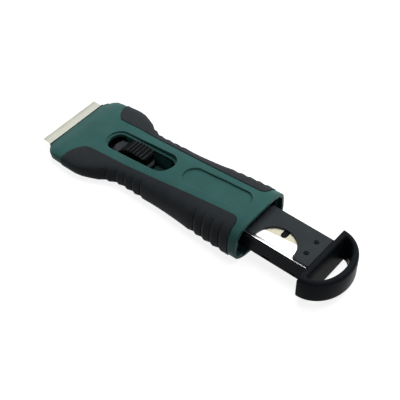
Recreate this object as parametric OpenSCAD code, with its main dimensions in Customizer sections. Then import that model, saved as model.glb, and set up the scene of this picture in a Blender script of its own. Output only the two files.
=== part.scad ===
// Retractable razor blade scraper with a drawer of spare blades.
// X runs from the blade to the pull ring, Y across, Z up from the flat underside.

/* [Body] */
// length from the lip at the blade to the mouth at the drawer
body_len = 128; // [118:1:140]
// width across the head
head_w = 53.6; // [51:0.2:58]
// width at the lip, where the blade comes out
lip_w = 43.4; // [42.6:0.2:46]
// width at the waist
waist_w = 35.8; // [34.6:0.2:38]
// width at the mouth
mouth_w = 39.8; // [38.6:0.2:43]
// height at the lip
lip_h = 6.7; // [6.4:0.1:7.4]
// height of the spine line carried forward to the lip
spine_h = 8.6; // [8.4:0.1:9.4]
// height at the mouth
mouth_h = 23.8; // [23.4:0.1:26]
// height of the widest line of the side at the lip
side_front_h = 4.7; // [4.2:0.1:5]
// height of the widest line of the side at the mouth
side_rear_h = 9; // [8:0.1:10]
// height of the joint between the shells at the lip
seam_front_h = 4.2; // [4:0.1:4.3]
// height of the joint between the shells at the mouth
seam_rear_h = 8; // [7:0.1:9]
// length of the rounded corner beside the lip
corner_len = 11; // [8:0.5:14]
// length over which the top drops to the lip
nose_len = 22; // [18:1:26]
// rise of the underside at the lip
nose_rise = 0.8; // [0.4:0.1:1]
// distance from the lip to where the head starts to narrow
head_len = 24; // [20:1:26]
// length over which the head narrows to the waist
neck_len = 26; // [24:1:30]
// distance from the lip to where the waist starts to widen
waist_end = 72; // [66:1:76]
// length over which the waist widens to the mouth
flare_len = 40; // [34:1:44]
// wall thickness of the shells
wall = 1.7; // [1.5:0.1:1.8]
// thickness of the mouth rim
rim_wall = 1.5; // [1.3:0.1:1.7]
// how far the mouth bows out in the middle
mouth_bow = 1.4; // [0.8:0.1:2]
// thickness of the rails beside the slot that keep the holder down
skirt_wall = 1.2; // [1:0.1:1.4]
// how much the joint faces rise towards the middle
seam_crest = 0.2; // [0.1:0.05:0.3]
// gap between the two shells
seam_gap = 0.1; // [0.05:0.01:0.15]

/* [Grips] */
// distance from the lip to the front of the grips
grip_start = 13.4; // [12:0.2:15]
// distance from the lip to the rear end of the grips
grip_end = 122; // [120:0.2:123]
// distance of the grip edge from the middle line at the head
grip_edge_front = 12.9; // [12:0.1:13.6]
// distance of the grip edge from the middle line at the rear
grip_edge_rear = 10; // [9.4:0.1:11]
// radius of the grip edge at the head
grip_front_r = 11; // [9:0.5:12]
// radius of the grip edge at the rear
grip_rear_r = 3.5; // [3:0.1:4]
// thickness of the grips below the body's own surface
grip_depth = 1; // [0.8:0.1:1.1]
// how far the grips stand out of the body
grip_proud = 0.35; // [0.2:0.05:0.5]
// height of the lower edge of the grips
grip_low_h = 1.5; // [1.2:0.1:2]
// depth of the finger grooves
rib_h = 0.65; // [0.4:0.05:0.7]
// spacing of the finger grooves
rib_pitch = 5.5; // [5:0.1:5.7]
// distance from the lip to the first front groove
rib_front_start = 40.8; // [40:0.2:42]
// distance from the lip to the first rear groove
rib_rear_start = 99.8; // [99:0.2:101]
// gap between a grip and its seat
grip_gap = 0.12; // [0.1:0.01:0.15]

/* [Blade] */
// width of the blade along its edge
blade_w = 40; // [39:0.1:40.2]
// depth of the blade from edge to back
blade_depth = 19; // [18:0.1:19.2]
// thickness of the blade
blade_t = 0.25; // [0.22:0.01:0.3]
// width of the ground bevel
bevel_w = 1; // [0.6:0.1:1.4]
// height of the blade's top face above the underside
blade_h = 4.4; // [4.3:0.05:4.5]
// how far the blade stands out of the lip
blade_out = 5.8; // [5:0.1:6.2]
// width of the notch in the blade
notch_w = 3.4; // [3:0.1:4]
// distance of the notch from the edge
notch_back = 5.9; // [5.4:0.1:6.4]

/* [Slider] */
// how far the slider draws the blade back
blade_travel = 14; // [12:0.5:14]
// how much wider than the blade the holder is on each side
holder_side = 0.6; // [0.3:0.1:0.7]
// thickness of the holder plate under the blade
holder_t = 1.5; // [1.3:0.1:1.6]
// thickness of the jaw over the blade
jaw_t = 0.65; // [0.5:0.05:0.7]
// how far the holder stands out of the lip
holder_out = 0.9; // [0.5:0.1:1.2]
// length of the wide part of the holder
holder_head_len = 15.5; // [14:0.5:16]
// length of the shoulders behind it
holder_shoulder_len = 6; // [5:0.5:7]
// width of the holder's tail
tail_w = 17; // [15:0.5:17.5]
// distance from the lip to the end of the holder's tail
tail_end = 54; // [52:0.5:54]
// width of the slider's foot
foot_w = 9.4; // [8.6:0.1:9.6]
// height of the foot's top face above the underside
foot_h = 8.2; // [8:0.1:8.4]
// thickness of the foot
foot_t = 1.6; // [1.4:0.1:1.8]
// distance from the lip to the front of the foot
foot_start = 30.6; // [30:0.2:31.6]
// distance from the lip to the end of the foot
foot_end = 56; // [55:0.5:57]
// length of the thumb cap
cap_len = 13; // [12:0.5:14]
// width of the thumb cap
cap_w = 9.2; // [8.6:0.1:9.4]
// distance from the lip to the front of the thumb cap
cap_start = 41.4; // [40.6:0.2:42]
// height of the thumb cap above the underside
cap_h = 14.6; // [14:0.1:15.2]
// radius of the cap's rear corners
cap_corner_r = 2.2; // [1.8:0.1:3]
// length of the ramp in front of the cap
ramp_len = 6.4; // [5:0.2:7]
// height of the cap's ribs
cap_rib_h = 0.6; // [0.4:0.05:0.8]
// radius of the rivets that hold the jaw
rivet_r = 1; // [0.8:0.1:1.2]
// radius of the rivet heads
rivet_head_r = 1.8; // [1.5:0.1:2]
// height of a rivet head
rivet_head_h = 0.35; // [0.25:0.05:0.4]
// radius of the click bumps on the foot
bump_r = 0.7; // [0.5:0.05:0.8]

/* [Thumb slot] */
// distance from the lip to the front of the slot
slot_start = 27.1; // [26:0.1:27.4]
// length of the slot
slot_len = 42.9; // [42:0.1:44]
// width of the slot
slot_w = 11.2; // [10.8:0.1:11.6]
// width of the ledge around the slot
ledge_w = 1.4; // [1:0.1:1.6]
// height of the ledge at the front of the slot
ledge_front_h = 10.9; // [10.6:0.1:11.2]
// height of the ledge at the rear of the slot
ledge_rear_h = 14; // [13.6:0.1:14.6]
// thickness of the ledge
ledge_t = 1.2; // [1:0.1:1.4]
// thickness of the well's wall
well_wall = 1.2; // [1:0.1:1.4]

/* [Name recess] */
// distance from the lip to the front of the oval recess
oval_start = 78.4; // [77:0.1:80]
// length of the oval recess
oval_len = 42; // [40:0.5:43]
// width of the oval recess
oval_w = 13; // [12:0.2:14]
// depth of the oval recess
oval_depth = 0.6; // [0.4:0.05:0.7]

/* [Drawer] */
// how far the drawer is open at rest
drawer_open = 34.5; // [32:0.5:34.5]
// how much farther it opens to its stop
drawer_more = 6; // [4:0.5:6]
// width across the drawer's side walls
tray_w = 25.2; // [24.6:0.1:25.4]
// thickness of the drawer's side walls
tray_wall = 1.2; // [1:0.1:1.3]
// height of the drawer's lower edge above the underside
tray_low_h = 6.7; // [6.4:0.1:7]
// height of the near side wall
tray_side_h = 15.6; // [15.2:0.1:15.8]
// height of the far side wall
tray_far_h = 14.2; // [13.8:0.1:14.5]
// height of the deck that the blades lie on
deck_h = 14.6; // [14.4:0.05:14.6]
// thickness of the deck
deck_t = 1.2; // [1:0.1:1.4]
// length of the drawer's deck
deck_len = 42.6; // [42:0.1:43]
// length of the runners that stay in the body
runner_len = 11; // [10:0.5:12]
// height of the runners
runner_h = 5; // [4:0.2:5]
// how far the stop hooks stand out of the runners
hook_out = 1.2; // [1:0.1:1.3]
// length of a stop hook
hook_len = 3; // [2.5:0.1:3.5]
// height of the cover's top face above the underside
cover_h = 17.2; // [17.1:0.05:17.2]
// thickness of the cover
cover_t = 0.9; // [0.8:0.05:0.9]
// width of the cover
cover_w = 21.2; // [21:0.1:21.4]
// length of the deck left bare behind the cover
cover_back = 6.6; // [6:0.1:7]
// radius of the thumb window in the cover
window_r = 10; // [9:0.1:10.4]
// how far the window's middle lies inside the cover's near edge
window_in = 2; // [1:0.1:2.6]
// radius of the pins that hold the cover
pin_r = 0.9; // [0.7:0.05:1]
// height of the pin heads above the cover
pin_head_h = 0.35; // [0.25:0.05:0.4]
// spacing of the pins
pin_spacing = 8.6; // [8:0.2:9.4]
// thickness of the blade spring
leaf_t = 0.2; // [0.15:0.01:0.22]
// gap between the pieces of the blade stack
stack_gap = 0.02; // [0.01:0.01:0.03]

/* [Pull ring] */
// width of the pull ring
ring_w = 38.2; // [37:0.2:39]
// length of the pull ring
ring_len = 17.4; // [16.6:0.2:18.4]
// height of the ring's lower edge above the underside
ring_low_h = 2.6; // [2.2:0.1:3]
// how far the ring stands above the cover
ring_rise = 0.4; // [0:0.1:0.8]
// thickness of the ring's end wall
ring_back_t = 3; // [2.6:0.1:3.4]
// thickness of the ring's loop
ring_t = 3.4; // [3:0.1:3.8]
// radius of the ring's corners
ring_corner_r = 3.4; // [3:0.1:4]
// radius of the ring's rounded edges
ring_edge_r = 1.2; // [1:0.1:1.4]

/* [Screws] */
// radius of the screw shanks
screw_r = 1.25; // [1.1:0.05:1.3]
// radius of the screw heads
screw_head_r = 2.3; // [2.2:0.1:2.5]
// height of the screw heads
screw_head_h = 1.3; // [1.1:0.1:1.4]
// length of the screws
screw_len = 8; // [7:0.5:8]
// depth of the screw heads below the underside
screw_sink = 0.3; // [0.2:0.05:0.4]
// radius of the screw bosses
boss_r = 2.9; // [2.8:0.1:3]
// distance from the lip to the front screws
screw_front_at = 40; // [39.5:0.5:40.5]
// distance of the front screws from the middle line
screw_front_side = 12.4; // [12.2:0.1:12.6]
// distance from the lip to the rear screws
screw_rear_at = 71; // [70.5:0.1:71]
// distance of the rear screws from the middle line
screw_rear_side = 10.4; // [10.3:0.1:10.5]

/* [Fits] */
// clearance between pieces that slide past each other
slide_gap = 0.25; // [0.2:0.01:0.3]
// clearance between pieces that are held together
held_gap = 0.05; // [0.03:0.01:0.08]
// gap that is left between the ring and the body when the drawer is shut
shut_gap = 0.3; // [0.2:0.05:0.4]

/* [Hidden] */
$fn = 40;
lip_x = -body_len / 2;
mouth_x = body_len / 2;
overrun = wall;
top_power = 2.8;
base_power = 3.4;
spine_slope = (mouth_h - spine_h) / body_len;
base_trim = blade_t * 2;
front_x = lip_x - holder_out;
edge_x = lip_x - blade_out;
holder_low_h = blade_h - blade_t - holder_t;
holder_top_h = holder_low_h + holder_t;
skirt_low_h = holder_top_h + slide_gap;
jaw_low_h = blade_h + held_gap;
jaw_top_h = jaw_low_h + jaw_t;
holder_w = blade_w + 2 * holder_side;
rivet_x = edge_x + blade_depth + rivet_head_r + slide_gap;
shoulder_x = max(front_x + holder_head_len, rivet_x - rivet_r);
way_low_h = holder_low_h - slide_gap;
way_top_h = jaw_top_h + slide_gap;
way_w = holder_w + 2 * slide_gap;
way_share = 0.235;
way_end_x = lip_x + body_len * way_share;
slot_x = lip_x + slot_start;
well_w = slot_w + 2 * (ledge_w + well_wall);
ring_x = mouth_x + drawer_open + shut_gap;
deck_x = ring_x - deck_len;
runner_x = deck_x - runner_len;
cover_x = deck_x + cover_back;
cover_low_h = cover_h - cover_t;
tray_in = tray_w / 2 - tray_wall;
leaf_low_h = deck_h + stack_gap;
stack_low_h = leaf_low_h + leaf_t + stack_gap;
spare_step = blade_t + stack_gap;
stack_end = slide_gap * 3;
spare_front_x = ring_x - stack_end - blade_w;
ledge_y = blade_depth / 2 + slide_gap;
pin_share = 0.87;
pin_x = deck_x + deck_len * pin_share;
screw_spots = [
    [lip_x + screw_front_at, -screw_front_side], [lip_x + screw_front_at, screw_front_side],
    [lip_x + screw_rear_at, -screw_rear_side], [lip_x + screw_rear_at, screw_rear_side],
];

SHELL = "#46706b";
RUBBER = "#2b2e31";
BLACK = "#1c1d1f";
STEEL = "#d5d4c4";
BRIGHT = "#e6e6e2";

// Forms of the body, each at a distance d from the lip.
function ease(u) = let (v = min(max(u, 0), 1)) v * v * (3 - 2 * v);
function corner_cut(d) = let (u = 1 - min(max(d / corner_len, 0), 1)) 1 - pow(1 - pow(u, 1.6), 0.625);
function half_w(d) =
    head_w / 2 - (head_w - lip_w) / 2 * corner_cut(d)
    - (head_w - waist_w) / 2 * ease((d - head_len) / neck_len)
    + (mouth_w - waist_w) / 2 * ease((d - waist_end) / flare_len);
function top_h(d) = spine_h + spine_slope * d - (spine_h - lip_h) * pow(max(1 - d / nose_len, 0), 2);
function side_h(d) = side_front_h + (side_rear_h - side_front_h) * d / body_len;
function low_h(d) = nose_rise * pow(max(1 - d / nose_len, 0), 2) - base_trim;
function part_cos(a, p) = sign(cos(a)) * pow(abs(cos(a)), 2 / p);
function part_sin(a, p) = sign(sin(a)) * pow(abs(sin(a)), 2 / p);

// One point of the skin at distance d and angle a, moved out by grow.
function skin(d, a, grow) =
    sin(a) >= 0
        ? [lip_x + d, (half_w(d) + grow) * part_cos(a, top_power),
            side_h(d) + (top_h(d) + grow - side_h(d)) * part_sin(a, top_power)]
        : [lip_x + d, (half_w(d) + grow) * part_cos(a, base_power),
            side_h(d) + (side_h(d) - low_h(d) + grow) * part_sin(a, base_power)];

// Each row's points pair off from its two ends, so its flat end is a ladder of pairs.
function ladder(n, from) =
    [for (j = [from:ceil(n / 2) - 2]) for (t = [[j, j + 1, n - 1 - j], [j + 1, n - 2 - j, n - 1 - j]])
        if (t[0] != t[1]) t];
function crested_ladder(n) = concat([[0, 1, 2], [n - 3, n - 2, n - 1], [0, 2, n - 1], [2, n - 3, n - 1]], ladder(n, 2));
module rings(rows, crested = false) {
    n = len(rows[0]);
    m = len(rows);
    ends = crested ? crested_ladder(n) : ladder(n, 0);
    polyhedron(
        points = [for (row = rows) for (p = row) p],
        faces = concat(
            ends,
            [for (i = [0:m - 2]) for (j = [0:n - 1]) [i * n + j, (i + 1) * n + j, (i + 1) * n + (j + 1) % n]],
            [for (i = [0:m - 2]) for (j = [0:n - 1]) [i * n + j, (i + 1) * n + (j + 1) % n, i * n + (j + 1) % n]],
            [for (t = ends) [for (k = t) m * n - 1 - k]]
        )
    );
}

// The edge line of the grip: its distance from the middle line at distance d.
function grip_line(d) = grip_edge_front
    + (grip_edge_rear - grip_edge_front) * ease((d - head_len) / (body_len - head_len));
function grip_edge(d) =
    d < grip_start + grip_front_r
        ? grip_line(d) + grip_front_r - sqrt(max(pow(grip_front_r, 2) - pow(grip_start + grip_front_r - d, 2), 0))
        : d > grip_end - grip_rear_r
            ? grip_line(d) + grip_rear_r - sqrt(max(pow(grip_rear_r, 2) - pow(d - grip_end + grip_rear_r, 2), 0))
            : grip_line(d);

// The finger grooves: depth shares over one pitch, steep behind the groove and shallow ahead of it.
groove_at_shares = [0, 0.35, 0.7, 0.82];
groove_depth_shares = [0, 0.45, 1, 0.45];
function groove_marks(start, count) = concat(
    [for (i = [0:count - 1]) for (s = groove_at_shares) start + rib_pitch * (i - 0.7 + s)],
    [start + rib_pitch * (count - 0.7)]);
function groove_depths(count) = concat([for (i = [0:count - 1]) for (s = groove_depth_shares) s], [0]);
function groove(d) = max(
    lookup(d, [for (i = [0:len(front_grooves) - 1]) [front_grooves[i], front_depths[i]]]),
    lookup(d, [for (i = [0:len(rear_grooves) - 1]) [rear_grooves[i], rear_depths[i]]]));
front_grooves = groove_marks(rib_front_start, 5);
front_depths = groove_depths(5);
rear_grooves = groove_marks(rib_rear_start, 4);
rear_depths = groove_depths(4);

// Angle of a grip's section at share u of its way from the edge on top round the side to its lower edge.
side_share = 0.6;
fade_from_share = 0.2;
fade_to_share = 0.45;
function grip_angle(d, grow, out, u) =
    u < side_share
        ? acos(pow(min((grip_edge(d) - out) / (half_w(d) + grow), 1), top_power / 2)) * (1 - u / side_share)
        : -asin(pow(min((side_h(d) - grip_low_h + out) / (side_h(d) - low_h(d) + grow), 1), base_power / 2))
            * (u - side_share) / (1 - side_share);
function grip_grow(d, u) =
    grip_proud - rib_h * groove(d) * ease((u - fade_from_share) / (fade_to_share - fade_from_share));
function inner_point(d, grow, out, u) = skin(d, grip_angle(d, grow, out, u), grow);

// A point between the seat's stations lies on the straight line between them, as the seat's own wall does.
function seat_point(d, grow, out, u) =
    let (
        i = max([for (j = [0:len(seat_marks) - 2]) if (seat_marks[j] <= d + stack_gap || j == 0) j]),
        a = seat_marks[i],
        b = seat_marks[i + 1],
        v = min(max((d - a) / (b - a), 0), 1),
        p = inner_point(a, grow, out, u),
        q = inner_point(b, grow, out, u)
    )
    [lip_x + d, p[1] + (q[1] - p[1]) * v, p[2] + (q[2] - p[2]) * v];

grip_shares = [0, 0.1, 0.2, 0.3, 0.4, 0.5, 0.6, 0.73, 0.87, 1];
seat_top_shares = [0.6, 0.5, 0.4, 0.3, 0.2, 0.1, 0];
seat_base_shares = [0.73, 0.87, 1];
function backward(v) = [for (i = [len(v) - 1:-1:0]) v[i]];
function mirrored(v) = [for (p = backward(v)) [p[0], -p[1], p[2]]];

// Half of a shell's section at distance d runs from its joint past the grip's seat to the middle line.
function seam_h(d) = seam_front_h + (seam_rear_h - seam_front_h) * d / body_len;
function seam_point(d, grow, lift) =
    grow == 0
        ? skin(d, -asin(pow((side_h(d) - seam_h(d) - lift) / (side_h(d) - low_h(d)), base_power / 2)), 0)
        : let (
            p = inner_point(d, grow, grip_gap, side_share),
            q = inner_point(d, grow, grip_gap, seat_base_shares[0]),
            v = (seam_h(d) + lift - p[2]) / (q[2] - p[2])
        )
        p + (q - p) * v;
crest_share = 0.6;
function crest_point(d, lift) = [lip_x + d, half_w(d) * crest_share, seam_h(d) + lift + seam_crest];
function seat_part(d, grow, shares) = [for (u = shares) inner_point(d, grow, grip_gap, u)];
function flat_angle(d) =
    -asin(pow((side_h(d) - low_h(d) - base_trim) / (side_h(d) - low_h(d)), base_power / 2));
function bare_part(d, u) =
    let (a = grip_angle(d, 0, grip_gap, u), b = u > 0 ? flat_angle(d) : 90)
    [for (i = [0:u > 0 ? 4 : 3]) skin(d, a + (b - a) * i / 4, 0)];
function shell_row(d, grow, shares, lift) =
    let (
        last = shares[len(shares) - 1],
        half = concat([crest_point(d, lift), seam_point(d, grow, lift)], seat_part(d, grow, shares), bare_part(d, last))
    )
    last > 0 ? concat(backward(mirrored(half)), backward(half)) : concat(half, [skin(d, 90, 0)], mirrored(half));
module shell_form(shares, lift) {
    rings(concat(
        [for (d = nose_marks) shell_row(d, 0, shares, lift)],
        [for (d = seat_marks) shell_row(d, -grip_depth - grip_gap, shares, lift)],
        [for (d = tail_marks) shell_row(d, 0, shares, lift)]
    ), true);
}

module on_side(side) {
    mirror([0, side > 0 ? 0 : 1, 0]) children();
}

module grip(side) {
    on_side(side)
        rings([for (d = grip_marks) concat(
            [for (u = grip_shares) inner_point(d, grip_grow(d, u), 0, u)],
            [for (u = backward(grip_shares)) seat_point(d, -grip_depth, 0, u)]
        )]);
}

// Stations between two places without the ends that the lists beside them hold.
function even_marks(from, to, n, skip) = [for (i = [skip:n - skip]) from + (to - from) * i / n];
function round_marks(from, r, n, turn) =
    [for (i = [0:n]) from + turn * r * (1 - cos(90 * (turn > 0 ? i : n - i) / n))];
seat_start = grip_start - grip_gap;
seat_end = grip_end + grip_gap;
nose_marks = concat(
    [for (i = [0:4]) corner_len * (1 - cos(90 * i / 4))],
    [seat_start]
);
seat_marks = concat(
    round_marks(seat_start, grip_front_r, 5, 1),
    even_marks(seat_start + grip_front_r, seat_end - grip_rear_r, 20, 1),
    round_marks(seat_end, grip_rear_r, 3, -1)
);
tail_marks = [seat_end, (seat_end + body_len) / 2, body_len];
grip_marks = concat(
    round_marks(grip_start, grip_front_r, 5, 1),
    even_marks(grip_start + grip_front_r, front_grooves[0], 3, 1),
    front_grooves,
    even_marks(front_grooves[len(front_grooves) - 1], rear_grooves[0], 6, 1),
    rear_grooves,
    round_marks(grip_end, grip_end - rear_grooves[len(rear_grooves) - 1] - slide_gap, 3, -1)
);

// A plate with rounded ends, from x to x + length, standing on z = 0.
module obround(length, width, height) {
    r = width / 2;
    linear_extrude(height)
        union() {
            translate([r, 0]) circle(r);
            translate([length - r, 0]) circle(r);
            translate([r, -r]) square([length - width, width]);
        }
}

module bar(x, y, z, length, width, height) {
    translate([x, y - width / 2, z]) cube([length, width, height]);
}

module seam_cut(height, keep) {
    turn = atan((seam_rear_h - seam_front_h) / body_len);
    translate([lip_x, 0, seam_front_h])
        rotate([0, -turn, 0])
            translate([-head_w, -head_w, keep > 0 ? height - body_len : height])
                cube([body_len + 2 * head_w, 2 * head_w, body_len]);
}

// Where the ledge lies, as a slanted frame for its children.
module on_ledge(drop) {
    turn = atan((ledge_rear_h - ledge_front_h) / slot_len);
    translate([slot_x, 0, ledge_front_h - drop]) rotate([0, -turn, 0]) children();
}

module on_spine(at) {
    translate([lip_x + at, 0, top_h(at)]) rotate([0, -atan(spine_slope), 0]) children();
}

// The upper half's hollow follows its skin, and is wider at the mouth.
module arch(marks, inset) {
    rings([for (d = marks) [for (a = arch_angles) skin(d, a, -inset)]]);
}
tuck_turn = 25;
arch_angles = concat([-tuck_turn], [for (i = [0:8]) 180 * i / 8], [180 + tuck_turn]);
side_inset = wall + grip_depth + grip_gap;
module hollow() {
    arch(even_marks(wall * 3, body_len - wall * 2, 12, 0), side_inset);
    arch(even_marks(seat_end + wall, body_len + wall, 2, 0), rim_wall);
}

// The lower half has pockets with straight sides, the floor's own narrower than the one above it.
module pocket(from, inset, low) {
    marks = even_marks(from, body_len + wall, 12, 0);
    translate([lip_x, 0, low])
        linear_extrude(body_len)
            polygon(concat(
                [for (d = marks) [d, half_w(d) - inset]],
                [for (d = backward(marks)) [d, inset - half_w(d)]]
            ));
}
floor_share = 1.7;
side_low_share = 2.2;
rim_low_share = 2.8;

// The rear end of the body, bowed out in the middle.
module mouth_trim() {
    r = (pow(mouth_w / 2, 2) + pow(mouth_bow, 2)) / (2 * mouth_bow);
    difference() {
        translate([mouth_x - 2 * mouth_bow, -body_len, -body_len]) cube([body_len, 2 * body_len, 3 * body_len]);
        translate([mouth_x - r, 0, -2 * body_len]) cylinder(5 * body_len, r, r, $fn = 240);
    }
}

// The way of the holder through the head.
module blade_way() {
    bar(lip_x - overrun, 0, way_low_h, way_end_x - lip_x + overrun, way_w, way_top_h - way_low_h);
}

module drawer_way() {
    closed_cover_x = cover_x - drawer_open - slide_gap;
    closed_deck_x = deck_x - drawer_open - slide_gap;
    closed_stack_x = spare_front_x - drawer_open - slide_gap;
    stack_top_h = stack_low_h + 4 * spare_step + blade_t;
    bar(closed_stack_x, 0, tray_low_h, body_len, blade_depth + 2 * slide_gap, stack_top_h + slide_gap - tray_low_h);
    bar(guide_x - slide_gap, 0, tray_low_h, body_len, tray_w + 2 * (hook_out + slide_gap), runner_h + slide_gap);
    bar(closed_cover_x, 0, tray_low_h, body_len, cover_w + 2 * slide_gap, cover_h + slide_gap - tray_low_h);
    bar(closed_cover_x, 0, tray_low_h, body_len, tray_w + 2 * slide_gap, tray_side_h + slide_gap - tray_low_h);
    bar(closed_deck_x, 0, tray_low_h, body_len, tray_w + 2 * slide_gap, deck_h + slide_gap - tray_low_h);
}

function skin_h(d, y) =
    side_h(d) + (top_h(d) - side_h(d)) * pow(1 - pow(min(y / half_w(d), 1), top_power), 1 / top_power);

module screw_bosses(reach) {
    for (at = [screw_front_at, screw_rear_at]) for (side = [-1, 1]) {
        y = at == screw_front_at ? screw_front_side : screw_rear_side;
        translate([lip_x + at, side * y, sunk_low_h])
            cylinder((reach > 0 ? skin_h(at - boss_r, y + boss_r) - wall * 2 / 3 : seam_rear_h + boss_r) - sunk_low_h,
                boss_r, boss_r);
    }
}

module upper_shell() {
    color(SHELL)
        difference() {
            union() {
                difference() {
                    shell_form(seat_top_shares, seam_gap / 2);
                    hollow();
                    mouth_trim();
                }
                difference() {
                    on_ledge(ledge_t)
                        translate([-ledge_w - well_wall, 0, 0])
                            obround(slot_len + 2 * (ledge_w + well_wall), well_w, mouth_h);
                    on_spine(slot_start) translate([-body_len, -body_len, -wall]) cube(2 * body_len);
                }
                difference() {
                    screw_bosses(1);
                    seam_cut(seam_gap / 2, 1);
                }
                for (side = [-1, 1])
                    bar(slot_x + slot_w / 2, side * (slot_w / 2 + skirt_wall / 2), skirt_low_h, slot_len - slot_w,
                        skirt_wall, ledge_front_h - skirt_low_h - ledge_t / 2);
            }
            for (at = [0, blade_travel])
                for (side = [-1, 1])
                    translate([bump_x + at, side * (bump_y + slide_gap), skirt_low_h - overrun])
                        cylinder(foot_h + overrun, bump_r + slide_gap, bump_r + slide_gap);
            blade_way();
            drawer_way();
            on_ledge(0) translate([-ledge_w, 0, 0]) obround(slot_len + 2 * ledge_w, slot_w + 2 * ledge_w, mouth_h);
            translate([slot_x, 0, 0]) obround(slot_len, slot_w, 2 * mouth_h);
            on_spine(oval_start)
                translate([0, 0, -oval_depth - oval_drop])
                    scale([oval_len / oval_w, 1, 1])
                        translate([oval_w / 2, 0, 0]) cylinder(mouth_h, oval_w / 2, oval_w / 2);
            for (s = screw_spots)
                translate([s[0], s[1], 0]) cylinder(screw_sink + screw_head_h + screw_len + slide_gap,
                    screw_r + held_gap, screw_r + held_gap);
        }
}
oval_drop = pow(oval_w / 2, 2) / (2 * mouth_w);

module lower_shell() {
    color(SHELL)
        difference() {
            union() {
                difference() {
                    shell_form(seat_base_shares, -seam_gap / 2);
                    pocket(wall * 3, side_inset + wall * floor_share, wall);
                    pocket(wall * 3, side_inset, wall * side_low_share);
                    pocket(seat_end + wall, rim_wall, wall * rim_low_share);
                    mouth_trim();
                    blade_way();
                }
                difference() {
                    screw_bosses(0);
                    seam_cut(-seam_gap / 2, 0);
                }
                for (side = [-1, 1]) {
                    bar(guide_x, side * (guide_y - tray_wall / 2), sunk_low_h, guide_len, tray_wall,
                        tray_low_h - slide_gap - sunk_low_h);
                    bar(guide_x, side * guide_y, sunk_side_h, guide_len, 2 * tray_wall,
                        tray_low_h - slide_gap - sunk_side_h);
                    bar(guide_x, side * (guide_y + tray_wall / 2), sunk_side_h, guide_len, tray_wall,
                        tray_low_h + runner_h / 2 - sunk_side_h);
                    bar(runner_x + hook_len + drawer_more + slide_gap, side * (guide_y + tray_wall / 2), sunk_side_h,
                        hook_len, tray_wall, tray_low_h + runner_h - sunk_side_h);
                    bar(track_x, side * (tail_w / 2 + slide_gap + skirt_wall / 2), sunk_low_h, track_len, skirt_wall,
                        holder_top_h - sunk_low_h);
                }
                bar(track_x, 0, sunk_low_h, track_len, tail_w + 2 * slide_gap + skirt_wall, way_low_h - sunk_low_h);
            }
            for (s = screw_spots) translate([s[0], s[1], -overrun]) {
                cylinder(mouth_h, screw_r + held_gap, screw_r + held_gap);
                cylinder(overrun + screw_sink + screw_head_h + held_gap, screw_head_r + held_gap,
                    screw_head_r + held_gap);
            }
        }
}
sunk_low_h = wall - held_gap;
sunk_side_h = wall * side_low_share - held_gap;
guide_x = deck_x - runner_len - drawer_open;
guide_y = tray_w / 2 + slide_gap;
guide_len = mouth_x - guide_x - wall * 3;
track_x = shoulder_x + holder_shoulder_len + blade_travel + slide_gap;
track_len = guide_x - track_x - wall;

module blade_plate() {
    difference() {
        union() {
            translate([bevel_w, -blade_w / 2, 0]) cube([blade_depth - bevel_w, blade_w, blade_t]);
            rotate([90, 0, 0]) linear_extrude(blade_w, center = true)
                polygon([[0, blade_t / 2], [bevel_w, 0], [bevel_w, blade_t]]);
        }
        translate([notch_back, 0, -blade_t]) obround(blade_depth, notch_w, 3 * blade_t);
    }
}

module blade() {
    color(STEEL) translate([edge_x, 0, blade_h - blade_t]) blade_plate();
}

module holder_outline(width, tail_x) {
    a = width / 2;
    b = tail_w / 2;
    x1 = shoulder_x;
    x2 = x1 + holder_shoulder_len;
    polygon([
        [front_x, -a], [x1, -a], [x2, -b], [tail_x, -b], [tail_x, b], [x2, b], [x1, a], [front_x, a],
    ]);
}

module blade_holder() {
    key_x = edge_x + notch_back + held_gap;
    color(BLACK)
        difference() {
            union() {
                translate([0, 0, holder_low_h]) linear_extrude(holder_t) holder_outline(holder_w, lip_x + tail_end);
                translate([key_x, 0, holder_low_h])
                    obround(blade_depth - notch_back - held_gap, notch_w - 2 * held_gap, holder_t + blade_t);
                bar(lip_x + cap_start, 0, holder_low_h, tail_end - cap_start - wall, foot_w / 2,
                    foot_h - foot_t - held_gap - holder_low_h);
            }
            for (side = [-1, 1])
                translate([rivet_x, side * rivet_y, 0]) cylinder(body_len, rivet_r + held_gap, rivet_r + held_gap);
            translate([slider_screw_x, 0, 0]) cylinder(body_len, screw_r + held_gap, screw_r + held_gap);
            translate([slider_screw_x, 0, 0])
                cylinder(holder_low_h + screw_head_h / 2, screw_head_r + held_gap, screw_head_r + held_gap);
        }
}
rivet_share = 0.27;
rivet_y = holder_w * rivet_share;
slider_screw_x = lip_x + cap_start + cap_len / 2;
bump_x = slider_screw_x;
bump_y = slot_w / 2 - slide_gap - bump_r;

module blade_jaw() {
    jaw_len = rivet_x + rivet_head_r + slide_gap - front_x;
    color(BLACK)
        difference() {
            bar(front_x, 0, jaw_low_h, jaw_len, holder_w, jaw_t);
            for (side = [-1, 1])
                translate([rivet_x, side * rivet_y, 0]) cylinder(body_len, rivet_r + held_gap, rivet_r + held_gap);
        }
}

module jaw_rivets() {
    color(BRIGHT)
        for (side = [-1, 1]) translate([rivet_x, side * rivet_y, 0]) {
            translate([0, 0, holder_low_h]) cylinder(jaw_top_h + rivet_head_h / 2 - holder_low_h, rivet_r, rivet_r);
            translate([0, 0, jaw_top_h + held_gap / 2]) cylinder(rivet_head_h, rivet_head_r, rivet_r);
        }
}

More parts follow.
